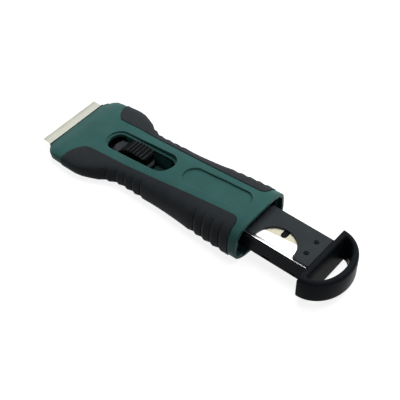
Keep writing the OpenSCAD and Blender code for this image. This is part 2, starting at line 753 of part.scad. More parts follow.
// The foot under the slot, the ramp and the ribbed cap for the thumb.
module thumb_slider() {
    foot_x = lip_x + foot_start;
    cap_x = lip_x + cap_start;
    rib_step = cap_len / 6;
    dip = cap_rib_h * 2;
    color(BLACK)
        difference() {
            union() {
                translate([foot_x, 0, foot_h - foot_t]) obround(foot_end - foot_start, foot_w, foot_t);
                for (side = [-1, 1])
                    translate([bump_x, side * bump_y, foot_h - foot_t]) cylinder(foot_t, bump_r, bump_r);
                intersection() {
                    rotate([90, 0, 0]) linear_extrude(cap_w, center = true)
                        polygon(concat(
                            [[cap_x - ramp_len, foot_h - foot_t / 2], [cap_x - ramp_len, foot_h],
                                [cap_x - ramp_len / 4, cap_h - cap_rib_h * 3], [cap_x, cap_h - dip]],
                            [for (i = [0:5]) for (p = [
                                [cap_x + i * rib_step + rib_step / 4, cap_h - cap_sag(i)],
                                [cap_x + i * rib_step + rib_step * 3 / 5, cap_h - cap_sag(i)],
                                [cap_x + i * rib_step + rib_step, cap_h - cap_sag(i) - cap_rib_h],
                            ]) p],
                            [[cap_x + cap_len, foot_h - foot_t / 2]]
                        ));
                    union() {
                        bar(foot_x, 0, 0, cap_x + cap_len - cap_corner_r - foot_x, cap_w + overrun, mouth_h);
                        bar(cap_x, 0, 0, cap_len + overrun, cap_w - 2 * cap_corner_r, mouth_h);
                        for (side = [-1, 1])
                            translate([cap_x + cap_len - cap_corner_r, side * (cap_w / 2 - cap_corner_r), 0])
                                cylinder(mouth_h, cap_corner_r, cap_corner_r);
                    }
                }
            }
            translate([slider_screw_x, 0, 0])
                cylinder(holder_low_h + screw_head_h / 2 + screw_len - foot_t, screw_r + held_gap, screw_r + held_gap);
        }
}
function cap_sag(i) = cap_rib_h * pow((i - 2.5) / 2.5, 2);

module slider_screw() {
    color(BRIGHT)
        translate([slider_screw_x, 0, holder_low_h + held_gap]) {
            cylinder(screw_head_h / 2 - held_gap * 2, screw_head_r, screw_head_r);
            cylinder(screw_len - foot_t * 2, screw_r, screw_r);
        }
}

module drawer_tray() {
    side_y = tray_w / 2 - tray_wall / 2;
    rest_y = (ledge_y + cover_w / 2) / 2;
    top_h = cover_low_h - held_gap;
    full_len = deck_len - held_gap;
    color(BLACK)
        difference() {
            union() {
                bar(deck_x, 0, deck_h - deck_t, full_len, tray_w, deck_t);
                for (side = [-1, 1]) bar(deck_x, side * side_y, tray_low_h, full_len, tray_wall, tray_far_h - tray_low_h);
                bar(cover_x, -side_y, tray_low_h, full_len - cover_back, tray_wall, tray_side_h - tray_low_h);
                bar(cover_x, rest_y, deck_h - deck_t, full_len - cover_back, cover_w / 2 - ledge_y,
                    top_h - deck_h + deck_t);
                bar(ring_x - stack_end, 0, deck_h - deck_t, stack_end - held_gap, cover_w, top_h - deck_h + deck_t);
                for (x = [deck_x, ring_x - deck_t - held_gap])
                    bar(x, 0, tray_low_h, deck_t, tray_w - tray_wall, deck_h - tray_low_h);
                for (side = [-1, 1]) {
                    bar(runner_x, side * side_y, tray_low_h, runner_len + deck_t, tray_wall, runner_h);
                    bar(runner_x, side * (tray_w / 2 + hook_out / 2 - held_gap), hook_low_h, hook_len, hook_out,
                        tray_low_h + runner_h - hook_low_h);
                }
            }
            for (share = mark_at_shares)
                translate([deck_x + deck_len * share, -tray_w / 2 - overrun, tray_low_h + deck_t * 3 / 4])
                    cube([deck_len / 9, overrun + tray_wall / 2, deck_t]);
        }
}
mark_at_shares = [0.41, 0.77];
hook_low_h = tray_low_h + runner_h / 2 + 2 * slide_gap;

// The cover, with its thumb window at the near side.
module drawer_cover() {
    near = -cover_w / 2;
    color(RUBBER)
        difference() {
            bar(cover_x, 0, cover_low_h, ring_x - cover_x - held_gap, cover_w, cover_t);
            translate([spare_front_x + blade_w / 2, near + window_in, cover_low_h - overrun])
                cylinder(3 * overrun, window_r, window_r, $fn = 72);
            for (side = [-1, 1])
                translate([pin_x, side * pin_spacing / 2, 0]) cylinder(body_len, pin_r + held_gap, pin_r + held_gap);
        }
}

module ring_pins() {
    color(BLACK)
        for (side = [-1, 1]) translate([pin_x, side * pin_spacing / 2, cover_low_h]) {
            cylinder(cover_t + pin_head_h / 2, pin_r, pin_r);
            translate([0, 0, cover_t + held_gap / 2]) cylinder(pin_head_h, pin_r + pin_head_h, pin_r);
        }
}

// A plate shaped like a D, its flat side at x = 0, with chamfered edges.
module d_plate(length, width, height, edge) {
    r = width / 2;
    scale([length / r, 1, 1])
        intersection() {
            union() {
                cylinder(edge, r - edge, r);
                translate([0, 0, edge]) cylinder(height - 2 * edge, r, r);
                translate([0, 0, height - edge]) cylinder(edge, r, r - edge);
            }
            translate([0, -width, -overrun]) cube([2 * width, 2 * width, height + 2 * overrun]);
        }
}

// A bar along x with rounded upper and lower corners.
module ring_front(height) {
    r = ring_corner_r;
    rotate([90, 0, 90]) linear_extrude(2 * ring_len)
        union() {
            for (y = [r - ring_w / 2, ring_w / 2 - r]) for (z = [r, height - r]) translate([y, z]) circle(r);
            translate([-ring_w / 2, r]) square([ring_w, height - 2 * r]);
            translate([r - ring_w / 2, 0]) square([ring_w - 2 * r, height]);
        }
}

module pull_ring() {
    height = cover_h + ring_rise - ring_low_h;
    color(BLACK)
        translate([ring_x, 0, ring_low_h])
            difference() {
                intersection() {
                    d_plate(ring_len, ring_w, height, ring_edge_r);
                    ring_front(height);
                }
                translate([ring_back_t, 0, -overrun])
                    scale([(ring_len - ring_back_t - ring_t) / (ring_w / 2 - ring_t), 1, 1])
                        intersection() {
                            cylinder(height + 2 * overrun, ring_w / 2 - ring_t, ring_w / 2 - ring_t);
                            translate([0, -ring_w, -overrun]) cube([2 * ring_w, 2 * ring_w, 2 * height]);
                        }
            }
}

module blade_spring() {
    color(BRIGHT)
        bar(spare_front_x, (ledge_y - tray_in) / 2, leaf_low_h, blade_w, ledge_y + tray_in - 2 * stack_gap, leaf_t);
}

module spare_blade(i) {
    color(STEEL)
        translate([spare_front_x + blade_w / 2, -blade_depth / 2, stack_low_h + i * spare_step])
            rotate([0, 0, 90]) blade_plate();
}

module shell_screws() {
    color(BRIGHT)
        for (s = screw_spots) translate([s[0], s[1], screw_sink]) {
            cylinder(screw_head_h, screw_head_r, screw_head_r);
            cylinder(screw_head_h + screw_len, screw_r, screw_r);
        }
}

upper_shell();
lower_shell();
color(RUBBER) grip(-1);  // left_grip
color(RUBBER) grip(1);  // right_grip
blade();
blade_holder();
blade_jaw();
jaw_rivets();
thumb_slider();
slider_screw();
drawer_tray();
drawer_cover();
pull_ring();
blade_spring();
spare_blade(0);  // spare_blade_1
spare_blade(1);  // spare_blade_2
spare_blade(2);  // spare_blade_3
spare_blade(3);  // spare_blade_4
spare_blade(4);  // spare_blade_5
shell_screws();
ring_pins();
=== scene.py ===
import math

import bmesh
import bpy
from mathutils import Matrix, Vector


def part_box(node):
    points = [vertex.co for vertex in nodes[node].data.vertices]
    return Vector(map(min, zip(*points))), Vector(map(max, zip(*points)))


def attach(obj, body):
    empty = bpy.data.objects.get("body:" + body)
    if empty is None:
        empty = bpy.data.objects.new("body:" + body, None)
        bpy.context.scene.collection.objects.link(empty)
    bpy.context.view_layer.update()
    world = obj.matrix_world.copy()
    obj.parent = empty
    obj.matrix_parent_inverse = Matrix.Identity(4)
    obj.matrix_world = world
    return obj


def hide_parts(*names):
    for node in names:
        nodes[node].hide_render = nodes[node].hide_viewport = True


mm = 0.001
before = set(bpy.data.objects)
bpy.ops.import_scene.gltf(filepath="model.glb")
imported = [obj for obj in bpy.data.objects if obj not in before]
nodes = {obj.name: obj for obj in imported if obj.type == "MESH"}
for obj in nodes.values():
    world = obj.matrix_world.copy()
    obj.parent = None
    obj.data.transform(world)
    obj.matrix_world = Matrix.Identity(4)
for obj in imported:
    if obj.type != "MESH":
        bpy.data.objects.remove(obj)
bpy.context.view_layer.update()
scene = bpy.context.scene
print("frame loaded:", len(nodes), "nodes")

mergeDistance = 0.002 * mm  # points of a frame mesh that lie closer are one point
meetDistance = 0.001 * mm  # the same for the points of a blade's ground edge
planeDistance = 0.0001 * mm  # a point this near a cutting plane lies on it


def boxOf(node):
    # the low and the high corner of a node of the frame, in millimetres
    return [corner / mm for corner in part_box(node)]


# small helpers for node trees, whose inputs take a fixed value or another node's output
def feed(tree, socket, value):
    if isinstance(value, bpy.types.NodeSocket):
        tree.links.new(value, socket)
    else:
        socket.default_value = value


def addNode(tree, kind, **inputs):
    node = tree.nodes.new(kind)
    for name, value in inputs.items():
        feed(tree, node.inputs[name], value)
    return node


def mathNode(tree, operation, first, second):
    node = tree.nodes.new("ShaderNodeMath")
    node.operation = operation
    for socket, value in zip(node.inputs, (first, second)):
        feed(tree, socket, value)
    return node.outputs[0]


def vectorNode(tree, x=0.0, y=0.0, z=0.0):
    return addNode(tree, "ShaderNodeCombineXYZ", X=x, Y=y, Z=z).outputs[0]


def spread(tree, value, low, high, toLow=0, toHigh=1):
    node = addNode(tree, "ShaderNodeMapRange", Value=value)
    node.interpolation_type = "SMOOTHSTEP"
    for name, number in (("From Min", low), ("From Max", high), ("To Min", toLow), ("To Max", toHigh)):
        node.inputs[name].default_value = number
    return node.outputs["Result"]


def blendColour(tree, share, first, second):
    node = tree.nodes.new("ShaderNodeMix")
    node.data_type = "RGBA"
    feed(tree, node.inputs[0], share)
    for socket, value in ((node.inputs[6], first), (node.inputs[7], second)):
        feed(tree, socket, (*value, 1) if isinstance(value, tuple) else value)
    return node.outputs[2]


def noise(tree, vector, scale, detail, rough):
    node = addNode(tree, "ShaderNodeTexNoise", Vector=vector, Scale=scale, Detail=detail, Roughness=rough)
    return node.outputs["Fac"]


def startMaterial(name):
    material = bpy.data.materials.new(name)
    material.use_nodes = True
    tree = material.node_tree
    tree.nodes.clear()
    output = tree.nodes.new("ShaderNodeOutputMaterial")
    shader = tree.nodes.new("ShaderNodeBsdfPrincipled")
    feed(tree, output.inputs["Surface"], shader.outputs[0])
    coords = tree.nodes.new("ShaderNodeTexCoord").outputs["Object"]
    return material, tree, shader, coords


# an edge counts as worn and lit, for the wear and the painted highlights along it, where the cosine between
# its flat and its rounded normal falls from flat to turned
edgeMask = dict(samples=6, flat=0.99, turned=0.8)


def roundedEdge(tree, radius, mask):
    # the rounded normal of every edge, and a mask that is 1 along them
    bevel = addNode(tree, "ShaderNodeBevel", Radius=radius)
    bevel.samples = mask["samples"]
    flat = tree.nodes.new("ShaderNodeNewGeometry").outputs["Normal"]
    dot = tree.nodes.new("ShaderNodeVectorMath")
    dot.operation = "DOT_PRODUCT"
    feed(tree, dot.inputs[0], bevel.outputs[0])
    feed(tree, dot.inputs[1], flat)
    return bevel.outputs[0], spread(tree, dot.outputs["Value"], mask["flat"], mask["turned"])


def bumpSurface(tree, shader, height, normal, strength, depth):
    bump = addNode(tree, "ShaderNodeBump", Strength=strength, Distance=depth, Height=height, Normal=normal)
    feed(tree, shader.inputs["Normal"], bump.outputs[0])


# moulded plastic and rubber: two tones in clouds, a fine grain, painted shade in creases, and wear with
# painted highlights along the edges
plasticSpecs = {
    "shellGreen": dict(
        colour=(0.054, 0.172, 0.158), cloud=(0.065, 0.197, 0.182), edgeWearAndHighlight=(0.14, 0.3, 0.28),
        rough=(0.34, 0.48), grain=2600, depth=0.00003, edge=0.0005, wearAndHighlightShare=0.6, specular=0.08),
    "gripRubber": dict(
        colour=(0.044, 0.051, 0.056), cloud=(0.053, 0.06, 0.066), edgeWearAndHighlight=(0.09, 0.098, 0.105),
        rough=(0.5, 0.68), grain=3400, depth=0.00004, edge=0.0003, wearAndHighlightShare=0.45, specular=0.05),
    "holderBlack": dict(
        colour=(0.012, 0.013, 0.014), cloud=(0.018, 0.019, 0.021), edgeWearAndHighlight=(0.06, 0.062, 0.066),
        rough=(0.35, 0.5), grain=2400, depth=0.00002, edge=0.0002, wearAndHighlightShare=0.3, specular=0.03),
    # the slider's pale edge colour is mostly a painted highlight on the crests of its ribs, with some wear
    "sliderBlack": dict(
        colour=(0.006, 0.0065, 0.007), cloud=(0.009, 0.0095, 0.01), edgeWearAndHighlight=(0.22, 0.225, 0.23),
        rough=(0.38, 0.55), grain=2800, depth=0.00003, edge=0.00016, wearAndHighlightShare=1.0, specular=0.02,
        foot=(0.085, 0.094, 0.102), footHeights=(0.0085, 0.0089)),
    "drawerBlack": dict(
        colour=(0.013, 0.0155, 0.0195), cloud=(0.018, 0.0215, 0.0265), edgeWearAndHighlight=(0.08, 0.087, 0.098),
        rough=(0.24, 0.38), grain=1800, depth=0.00002, edge=0.0006, wearAndHighlightShare=0.55, specular=0.025),
    "coverGrey": dict(
        colour=(0.056, 0.066, 0.071), cloud=(0.067, 0.078, 0.085), edgeWearAndHighlight=(0.11, 0.12, 0.13),
        rough=(0.45, 0.6), grain=3000, depth=0.00003, edge=0.0003, wearAndHighlightShare=0.35, specular=0.05),
}
# what they share: each noise has its scale, detail and roughness, and a span says what it is spread over
plasticTexture = dict(
    clouds=(90, 4, 0.6), cloudSpan=(0.3, 0.7), scuffs=(420, 3, 0.7), scuffSpan=(0.38, 0.62, 0.25, 1),
    grain=(2, 0.6), grainShare=0.6, roughSpan=(0.3, 0.7), crease=0.0012, creaseSamples=6,
    creaseSpan=(0.35, 0.85), creaseShade=0.3, bump=0.6)


def makePlastic(name, spec, texture):
    material, tree, shader, coords = startMaterial(name)
    rounded, edge = roundedEdge(tree, spec["edge"], edgeMask)
    clouds = noise(tree, coords, *texture["clouds"])
    grain = noise(tree, coords, spec["grain"], *texture["grain"])
    scuffs = noise(tree, coords, *texture["scuffs"])

    body = blendColour(tree, spread(tree, clouds, *texture["cloudSpan"]), spec["colour"], spec["cloud"])
    # painted shade: ambient occlusion darkens the colour towards a darker tone in creases and recesses
    crease = addNode(tree, "ShaderNodeAmbientOcclusion", Distance=texture["crease"])
    crease.samples = texture["creaseSamples"]
    creaseShade = tuple(value * texture["creaseShade"] for value in spec["colour"])
    body = blendColour(tree, spread(tree, crease.outputs["AO"], *texture["creaseSpan"]), creaseShade, body)
    if "foot" in spec:
        split = addNode(tree, "ShaderNodeSeparateXYZ", Vector=coords)
        aboveFoot = spread(tree, split.outputs[2], *spec["footHeights"])
        body = blendColour(tree, aboveFoot, spec["foot"], body)
    # the edges are lightened in scuffed patches: partly wear, partly a painted highlight
    litAndScuffedEdge = mathNode(tree, "MULTIPLY", edge, spread(tree, scuffs, *texture["scuffSpan"]))
    edgeWearAndHighlight = mathNode(tree, "MULTIPLY", litAndScuffedEdge, spec["wearAndHighlightShare"])
    feed(tree, shader.inputs["Base Color"], blendColour(tree, edgeWearAndHighlight, body, spec["edgeWearAndHighlight"]))

    fine = mathNode(tree, "MULTIPLY", grain, texture["grainShare"])
    coarse = mathNode(tree, "MULTIPLY", scuffs, 1 - texture["grainShare"])
    blotch = mathNode(tree, "ADD", fine, coarse)
    feed(tree, shader.inputs["Roughness"], spread(tree, blotch, *texture["roughSpan"], *spec["rough"]))
    bumpSurface(tree, shader, grain, rounded, texture["bump"], spec["depth"])
    shader.inputs["Specular IOR Level"].default_value = spec["specular"]
    return material


# steel is brushed along one direction, and a blade is ground past its band, which lies across one axis;
# the bright steel's band lies beyond the tool, so that all of it is ground
steelSpecs = {
    "frontBladeSteel": dict(
        colour=(0.5, 0.505, 0.43), cloud=(0.58, 0.575, 0.48), ground=(0.6, 0.61, 0.53),
        band=(-0.0688, -0.0672), axis=0, rough=(0.3, 0.46), stretch=(1, 0.02, 1), metal=0.85, turn=0),
    "spareBladeSteel": dict(
        colour=(0.36, 0.343, 0.262), cloud=(0.405, 0.387, 0.3), ground=(0.96, 0.96, 0.97),
        band=(-0.0115, -0.0118), axis=1, rough=(0.3, 0.44), stretch=(0.02, 1, 1), metal=0.85, turn=-0.1066),
    "brightSteel": dict(
        colour=(0.85, 0.85, 0.84), cloud=(0.95, 0.95, 0.95), ground=(0.95, 0.95, 0.95),
        band=(0.9, 0.8), axis=0, rough=(0.16, 0.28), stretch=(1, 0.05, 1), metal=0.9, turn=0),
}
steelTexture = dict(
    streaks=(5200, 3, 0.7), streakSpan=(0.2, 0.8, 0.6, 1), stains=(130, 4, 0.6), stainSpan=(0.35, 0.7),
    edge=0.0001, edgeShare=0.5, edgeColour=(0.9, 0.9, 0.88), roughSpan=(0.25, 0.75), bump=0.35,
    depth=0.00001)


def makeSteel(name, spec, texture):
    material, tree, shader, coords = startMaterial(name)
    rounded, edge = roundedEdge(tree, texture["edge"], edgeMask)
    brushed = addNode(tree, "ShaderNodeMapping", Vector=coords, Scale=spec["stretch"])
    streaks = noise(tree, brushed.outputs[0], *texture["streaks"])
    stains = noise(tree, coords, *texture["stains"])

    turned = addNode(tree, "ShaderNodeMapping", Vector=coords, Rotation=(0, 0, spec["turn"]))
    split = addNode(tree, "ShaderNodeSeparateXYZ", Vector=turned.outputs[0])
    ground = spread(tree, split.outputs[spec["axis"]], *spec["band"])
    stained = mathNode(tree, "MULTIPLY", spread(tree, stains, *texture["stainSpan"]),
                       spread(tree, streaks, *texture["streakSpan"]))
    plain = blendColour(tree, stained, spec["colour"], spec["cloud"])
    shaded = blendColour(tree, ground, plain, spec["ground"])
    glint = mathNode(tree, "MULTIPLY", edge, texture["edgeShare"])
    feed(tree, shader.inputs["Base Color"], blendColour(tree, glint, shaded, texture["edgeColour"]))

    feed(tree, shader.inputs["Roughness"], spread(tree, streaks, *texture["roughSpan"], *spec["rough"]))
    bumpSurface(tree, shader, streaks, rounded, texture["bump"], texture["depth"])
    shader.inputs["Metallic"].default_value = spec["metal"]
    return material


finishes = {name: makePlastic(name, spec, plasticTexture) for name, spec in plasticSpecs.items()}
finishes.update({name: makeSteel(name, spec, steelTexture) for name, spec in steelSpecs.items()})
print("materials made:", len(finishes))


# geometry trees: each has named inputs, which a modifier reaches by their identifiers
def startTree(name, inputs):
    tree = bpy.data.node_groups.new(name, "GeometryNodeTree")
    keys = {}
    for label, kind in inputs.items():
        socket = tree.interface.new_socket(label, in_out="INPUT", socket_type="NodeSocket" + kind)
        keys[label] = socket.identifier
    tree.interface.new_socket("Geometry", in_out="OUTPUT", socket_type="NodeSocketGeometry")
    start = tree.nodes.new("NodeGroupInput")
    end = tree.nodes.new("NodeGroupOutput")
    return tree, start.outputs, end.inputs[0], keys


def endTree(tree, instances, finish, end):
    # the instances are made real, because the export drops them
    real = addNode(tree, "GeometryNodeRealizeInstances", Geometry=instances)
    paint = addNode(tree, "GeometryNodeSetMaterial", Geometry=real.outputs[0], Material=finish)
    feed(tree, end, paint.outputs[0])


def useTree(piece, tree, keys, values):
    modifier = piece.modifiers.new(tree.name, "NODES")
    modifier.node_group = tree
    for label, value in values.items():
        modifier[keys[label]] = value


# soft shading: a piece is smooth, and its edges are sharp only past an angle
def makeSoftTree():
    tree, start, end, keys = startTree("softShading", {"geometry": "Geometry", "angle": "Float"})
    merge = addNode(tree, "GeometryNodeMergeByDistance", Geometry=start["geometry"], Distance=mergeDistance)
    smooth = addNode(tree, "GeometryNodeSetShadeSmooth", Geometry=merge.outputs[0])
    edgeAngle = tree.nodes.new("GeometryNodeInputMeshEdgeAngle")
    over = tree.nodes.new("FunctionNodeCompare")
    over.data_type = "FLOAT"
    over.operation = "GREATER_THAN"
    feed(tree, over.inputs[0], edgeAngle.outputs["Unsigned Angle"])
    feed(tree, over.inputs[1], start["angle"])
    sharp = tree.nodes.new("GeometryNodeSetShadeSmooth")
    sharp.domain = "EDGE"
    feed(tree, sharp.inputs["Geometry"], smooth.outputs[0])
    feed(tree, sharp.inputs["Selection"], over.outputs[0])
    feed(tree, sharp.inputs["Shade Smooth"], False)
    feed(tree, end, sharp.outputs[0])
    return tree, keys


softTree, softKeys = makeSoftTree()

# the nodes of the frame that are shown as they are; the pieces below stand for all the others
keptSpec = dict(soft=0.6, finishes=dict(blade="frontBladeSteel", thumb_slider="sliderBlack",
                                        drawer_tray="drawerBlack"))
for name, finish in keptSpec["finishes"].items():
    piece = nodes[name]
    if not piece.material_slots:
        piece.data.materials.append(None)
    for slot in piece.material_slots:
        slot.link = "OBJECT"
        slot.material = finishes[finish]
    useTree(piece, softTree, softKeys, {"angle": keptSpec["soft"]})
print("finishes given to", len(keptSpec["finishes"]), "nodes")


# pieces of the script's own, whose place is in their meshes
def newPiece(name, mesh, finish=None):
    piece = bpy.data.objects.new(name, mesh)
    scene.collection.objects.link(piece)
    if finish:
        mesh.materials.append(finishes[finish])
    return piece


def bakeModifiers(piece):
    graph = bpy.context.evaluated_depsgraph_get()
    mesh = bpy.data.meshes.new_from_object(piece.evaluated_get(graph))
    piece.modifiers.clear()
    piece.data = mesh


def softenEdges(piece, angle):
    useTree(piece, softTree, softKeys, {"angle": angle})
    bakeModifiers(piece)


def handOver(piece, body, slot, *replaced):
    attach(piece, body)
    if replaced:
        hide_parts(*replaced)
    print("piece made:", piece.name, len(piece.data.polygons), "faces")


# meshes: a merged copy of a node's, or walls and caps between outlines
def mergedMesh(node):
    mesh = nodes[node].data.copy()
    mesh.materials.clear()
    form = bmesh.new()
    form.from_mesh(mesh)
    bmesh.ops.remove_doubles(form, verts=form.verts, dist=mergeDistance)
    return mesh, form


def ringOf(form, outline, z):
    return [form.verts.new(Vector((u, v, z)) * mm) for u, v in outline]


def wallBetween(form, first, second):
    count = len(first)
    for j in range(count):
        after = (j + 1) % count
        form.faces.new((first[j], first[after], second[after], second[j]))


def addPrism(form, outline, low, high):
    rings = [ringOf(form, outline, z) for z in (low, high)]
    wallBetween(form, *rings)
    for ring in rings:
        form.faces.new(ring)


def meshOf(form, name):
    bmesh.ops.recalc_face_normals(form, faces=form.faces)
    mesh = bpy.data.meshes.new(name)
    form.to_mesh(mesh)
    form.free()
    return mesh


def ease(u):
    v = min(max(u, 0), 1)
    return v * v * (3 - 2 * v)


# the frame's outline, which the next functions read; "At" values are distances from the lip, in millimetres
bodyLow, bodyHigh = boxOf("upper_shell")
bodySpec = dict(
    lip=bodyLow.x, length=bodyHigh.x - bodyLow.x, head=26.8, front=21.7, corner=11.0, cornerPower=1.6,
    waist=8.9, neckAt=24.0, neck=26.0, flare=2.0, flareAt=72.0, flareLength=40.0, spine=8.6, slope=0.11875,
    lipDrop=1.9, nose=22.0, sideFront=4.7, sideRear=9.0)


def halfWidth(d, spec):
    early = 1 - min(max(d / spec["corner"], 0), 1)
    power = spec["cornerPower"]
    return (spec["head"] - (spec["head"] - spec["front"]) * (1 - (1 - early ** power) ** (1 / power))
            - spec["waist"] * ease((d - spec["neckAt"]) / spec["neck"])
            + spec["flare"] * ease((d - spec["flareAt"]) / spec["flareLength"]))


# shoulders that are squarer than the frame's, most of all at the head
shoulderSpec = dict(frameRound=2.8, squarer=4.0, restShare=0.4, headEnd=30.0, blend=15.0)


def squareShoulders(form, body, spec):
    p, q = spec["frameRound"], spec["squarer"]
    for vert in form.verts:
        x, y, z = (value / mm for value in vert.co)
        d = x - body["lip"]
        side = body["sideFront"] + (body["sideRear"] - body["sideFront"]) * d / body["length"]
        if z <= side:
            continue
        top = body["spine"] + body["slope"] * d - body["lipDrop"] * max(1 - d / body["nose"], 0) ** 2
        across = abs(y) / halfWidth(d, body)
        up = (z - side) / (top - side)
        grow = (across ** p + up ** p) ** (1 / p) / (across ** q + up ** q) ** (1 / q) - 1
        grow *= 1 - (1 - spec["restShare"]) * ease((d - spec["headEnd"]) / spec["blend"])
        vert.co = Vector((x, y * (1 + grow), side + (z - side) * (1 + grow))) * mm


# the front ends of the grips lie a little further back than the frame's; each pair is a start and a length
gripFrontSpec = dict(back=1.6, rise=(9.0, 5.0), fall=(16.0, 7.0))


def moveGripFront(form, body, spec):
    (riseAt, riseLength), (fallAt, fallLength) = spec["rise"], spec["fall"]
    for vert in form.verts:
        d = vert.co.x / mm - body["lip"]
        share = ease((d - riseAt) / riseLength) * (1 - ease((d - fallAt) / fallLength))
        vert.co.x += spec["back"] * mm * share


# the lip is thinner and lies further back than the frame's, and its corners are rounder
lipSpec = dict(back=1.7, reach=12.0, keptHalf=20.9, newHalf=21.9, newCorner=7.0, roundness=2.0, roof=5.35,
               roofDrop=0.1, thinner=0.42)


def mouldLip(form, body, spec, isUpper):
    kept = spec["keptHalf"]
    for vert in form.verts:
        x, y, z = (value / mm for value in vert.co)
        along = x - body["lip"]
        if along >= spec["reach"]:
            continue
        moved = spec["back"] * (1 - ease(along / spec["reach"]))
        oldHalf = halfWidth(along, body)
        late = 1 - min(max((along + moved - spec["back"]) / spec["newCorner"], 0), 1)
        newHalf = body["head"] - (body["head"] - spec["newHalf"]) * late ** spec["roundness"]
        if abs(y) > kept:
            y = math.copysign(kept + (abs(y) - kept) * (newHalf - kept) / (oldHalf - kept), y)
        if isUpper and z > spec["roof"]:
            share = (1 - along / spec["reach"]) ** 2
            above = (z - spec["roof"]) * (1 - spec["thinner"] * share)
            z = spec["roof"] - spec["roofDrop"] * share + above
        vert.co = Vector((x + moved, y, z)) * mm


# the body is a little wider at its mouth than the frame's
mouthSpec = dict(start=10.0, reach=54.0, wider=0.022)


def widenMouth(form, spec):
    for vert in form.verts:
        vert.co.y *= 1 + spec["wider"] * ease((vert.co.x / mm - spec["start"]) / spec["reach"])


# what is cut into the upper shell: the bare oval recess on top, the thumb slot, and room in the roof of
# the drawer's way for the spring plate's fold; each has straight sides, round ends and a small chamfer at
# its foot, and reaches from its depth below the start to its height above it; the slot's cut leaves the
# near notch rail joined to nothing, a fault
recessSpecs = {
    "oval": dict(start=(14.4, 0, 17.91), slope=0.11875, length=42.0, width=12.8, depth=1.14, height=9.0,
                 endSteps=24, foot=0.25),
    "slot": dict(start=(-36.5, -1.1, 12.0), slope=0.0, length=43.2, width=13.4, depth=3.4, height=9.0,
                 endSteps=24, foot=0.05),
    "foldRoom": dict(start=(21.0, -10.6, 16.0), slope=0.0, length=47.0, width=2.2, depth=0.7, height=0.6,
                     endSteps=8, foot=0.02),
}


def makeCutter(name, spec):
    form = bmesh.new()
    half, middle = spec["width"] / 2, spec["length"] / 2
    outline = []
    for centre, first in ((spec["length"] - half, -90), (half, 90)):
        for step in range(spec["endSteps"] + 1):
            angle = math.radians(first + 180 * step / spec["endSteps"])
            outline.append((centre + half * math.cos(angle), half * math.sin(angle)))

    tilt = Matrix.Rotation(-math.atan(spec["slope"]), 3, "Y")
    low = -spec["depth"]
    rings = []
    for height, grow in ((low, -spec["foot"]), (low + spec["foot"], 0), (spec["height"], 0)):
        ring = []
        for u, v in outline:
            scale = 1 + grow / math.hypot(u - middle, v)
            point = Vector((middle + (u - middle) * scale, v * scale, height))
            ring.append(form.verts.new((Vector(spec["start"]) + tilt @ point) * mm))
        rings.append(ring)
    for lower, upper in zip(rings, rings[1:]):
        wallBetween(form, lower, upper)
    form.faces.new(rings[0])
    form.faces.new(rings[-1])
    return newPiece(name, meshOf(form, name))


shellSpec = dict(pieces=dict(upper_shell="upperMoulding", lower_shell="lowerMoulding"), soft=0.45)
for node, name in shellSpec["pieces"].items():
    mesh, form = mergedMesh(node)
    squareShoulders(form, bodySpec, shoulderSpec)
    mouldLip(form, bodySpec, lipSpec, node == "upper_shell")
    moveGripFront(form, bodySpec, gripFrontSpec)
    widenMouth(form, mouthSpec)
    form.to_mesh(mesh)
    piece = newPiece(name, mesh, "shellGreen")
    if node == "upper_shell":
        for recess, spec in recessSpecs.items():
            cutter = makeCutter(recess, spec)
            cut = piece.modifiers.new(recess, "BOOLEAN")
            cut.operation, cut.solver, cut.object = "DIFFERENCE", "EXACT", cutter
            bakeModifiers(piece)
            bpy.data.objects.remove(cutter)
    softenEdges(piece, shellSpec["soft"])
    handOver(piece, "body", "shell", node)


# the jaw and the plate below the blade: their front edges lie at the frame's lip, and are chamfered outside
jawSpec = dict(pieces=dict(blade_jaw="jawPlate", blade_holder="bladeCarrier"), ahead=0.5, chamfer=0.35,
               jawOutside=4.8, carrierOutside=3.2, soft=0.4)
for node, name in jawSpec["pieces"].items():
    mesh, form = mergedMesh(node)
    lip = bodySpec["lip"]
    for vert in form.verts:
        x, z = vert.co.x / mm, vert.co.z / mm
        if x < lip - jawSpec["ahead"]:
            outside = z > jawSpec["jawOutside"] if node == "blade_jaw" else z < jawSpec["carrierOutside"]
            vert.co.x = (lip + (jawSpec["chamfer"] if outside else 0)) * mm
    form.to_mesh(mesh)
    piece = newPiece(name, mesh, "holderBlack")
    softenEdges(piece, jawSpec["soft"])
    handOver(piece, "slider", "holder", node)


# the rubber grips: a sharp groove is cut at the foot of every finger rib, and the ribs stand prouder, most
# of all on the far side; each row has its first groove and their number, and the shape is what a groove
# takes off the proud rubber at shares of the pitch
gripSpec = dict(
    sides=(("left_grip", "leftRubber", -1), ("right_grip", "rightRubber", 1)), soft=0.5,
    rows=((-23.2, 5), (35.8, 4)), pitch=5.5, halfWidth=0.5, depth=0.45, facing=(0.25, 0.4),
    cuts=(-2.9, -1.9, -1.0, -0.5, 0, 0.5, 0.7, 1.2), proud={-1: 0.12, 1: 0.28},
    shape=((-0.7, 0), (-0.35, 0.45), (0, 1), (0.12, 0.45), (0.3, 0)), taper=2.5)
grooves = [first + gripSpec["pitch"] * i for first, count in gripSpec["rows"] for i in range(count)]


def ribHeight(x, spec):
    # how proud the rubber stands, as a share: the highest of what the single grooves leave there
    shape, best = spec["shape"], 0
    start, end = shape[0][0], shape[-1][0]
    for groove in grooves:
        at = (x - groove) / spec["pitch"]
        if start <= at <= end:
            for (a, low), (b, high) in zip(shape, shape[1:]):
                if a <= at <= b:
                    best = max(best, 1 - (low + (high - low) * (at - a) / (b - a)))
        else:
            past = min(abs(at - start), abs(at - end)) * spec["pitch"]
            best = max(best, 1 - past / spec["taper"])
    return best


